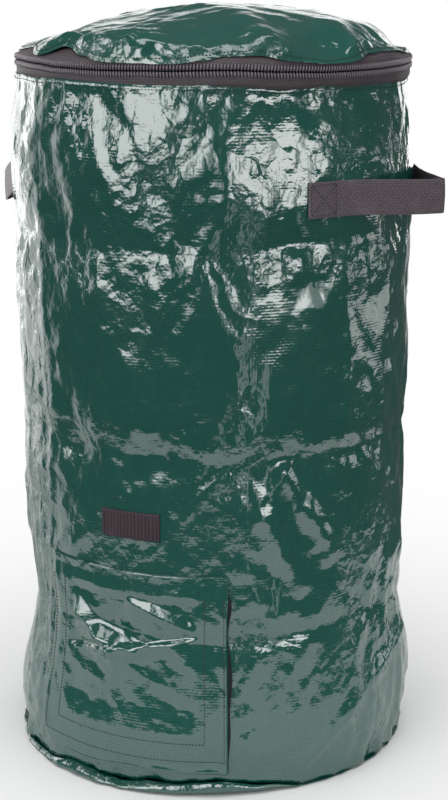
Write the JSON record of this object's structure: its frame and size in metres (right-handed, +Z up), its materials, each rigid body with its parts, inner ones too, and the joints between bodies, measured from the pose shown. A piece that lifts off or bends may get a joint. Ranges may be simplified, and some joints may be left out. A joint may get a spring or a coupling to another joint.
{
  "type": "garden waste bag",
  "caption": "Tall round garden waste bag of glossy woven film with a zipped domed lid, a front harvest flap closed by grip tape, and webbing side handles.",
  "frame": {"origin": "centre of the flat underside of the base, on the ground", "axes": "+Z up along the bag's own axis, -Y to the front where the harvest flap is, +X and -X to the handles, +Y to the back where the lid hinges"},
  "size_m": [0.5624, 0.4783, 0.8627],
  "materials": {
    "green_film": "glossy laminated woven film, creased",
    "green_lid_film": "glossy laminated woven film, paler under the sky",
    "zip_tape": "matt woven tape",
    "zip_coil": "satin nylon coil",
    "zip_metal": "dark satin",
    "webbing": "matt ribbed webbing",
    "hook_tape": "matt, bristly",
    "loop_tape": "matt, brushed",
    "thread": "twisted thread",
    "binding": "matt woven tape"
  },
  "bodies": {
    "bag": {"wall_panel": "green_film", "base_panel": "green_film", "side_seam_allowance": "green_film", "lid_hinge_lower_leaf": "green_film", "flap_seam_fold": "green_film", "lower_zipper_tape": "zip_tape", "lower_zipper_coil": "zip_coil", "lower_zipper_stop_left": "zip_metal", "lower_zipper_stop_right": "zip_metal", "right_handle": "webbing", "left_handle": "webbing", "flap_holder_patch": "hook_tape", "loop_tape_left": "loop_tape", "loop_tape_right": "loop_tape", "loop_tape_bottom": "loop_tape", "side_seam_stitching": "thread", "base_seam_stitching": "thread", "zipper_tape_stitching": "thread", "flap_seam_stitching": "thread", "holder_patch_stitching": "thread", "right_handle_front_stitching": "thread", "right_handle_rear_stitching": "thread", "left_handle_front_stitching": "thread", "left_handle_rear_stitching": "thread", "base_seam_binding": "binding"},
    "lid": {"lid_panel": "green_lid_film", "lid_stitching": "thread", "upper_zipper_tape": "zip_tape", "upper_zipper_coil": "zip_coil", "upper_zipper_stop_left": "zip_metal", "upper_zipper_stop_right": "zip_metal", "lid_hinge_upper_leaf": "green_film"},
    "flap": {"harvest_flap": "green_film", "hook_tape_left": "hook_tape", "hook_tape_right": "hook_tape", "hook_tape_bottom": "hook_tape", "flap_outer_stitching": "thread", "flap_inner_stitching": "thread"},
    "slider": {"zipper_slider": "zip_metal"},
    "pull": {"zipper_pull": "zip_metal"}
  },
  "joints": [
    {"name": "lid_hinge", "type": "hinge", "parent": "bag", "child": "lid", "pos_m": [0, 0.2268, 0.8026], "axis": [-1, 0, 0], "range_deg": [0, 200]},
    {"name": "flap_hinge", "type": "hinge", "parent": "bag", "child": "flap", "pos_m": [0, -0.22501, 0.257], "axis": [-1, 0, 0], "range_deg": [0, 160]},
    {"name": "slider_travel", "type": "hinge", "parent": "bag", "child": "slider", "pos_m": [0, 0, 0.8026], "axis": [0, 0, 1], "range_deg": [-300, 0]},
    {"name": "pull_swing", "type": "hinge", "parent": "slider", "child": "pull", "pos_m": [0.114, 0.19745, 0.8026], "axis": [0, 0, -1], "range_deg": [0, 170]}
  ]
}
